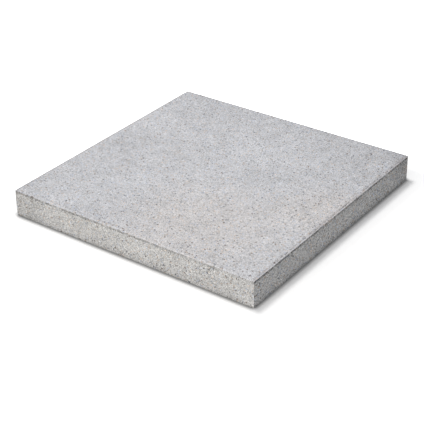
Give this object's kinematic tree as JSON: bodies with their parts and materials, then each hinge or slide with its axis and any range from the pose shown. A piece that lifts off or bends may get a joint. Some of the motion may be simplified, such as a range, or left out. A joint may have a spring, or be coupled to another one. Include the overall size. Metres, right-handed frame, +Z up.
{
  "type": "concrete paving slab",
  "caption": "Square cast concrete paving slab with a plain walking face, shallow arrised upper edges and square sides, laid flat to form paths and terraces.",
  "frame": {"origin": "centre of the bed face, the face that lies on the ground", "axes": "+Z up through the thickness to the walking face; +X and +Y square to the side faces, along the two equal plan sizes"},
  "size_m": [0.4, 0.4, 0.04],
  "materials": {
    "concrete": "matte cast concrete, fine sand grain with small pits"
  },
  "bodies": {
    "root": {"slab": "concrete"}
  },
  "joints": []
}
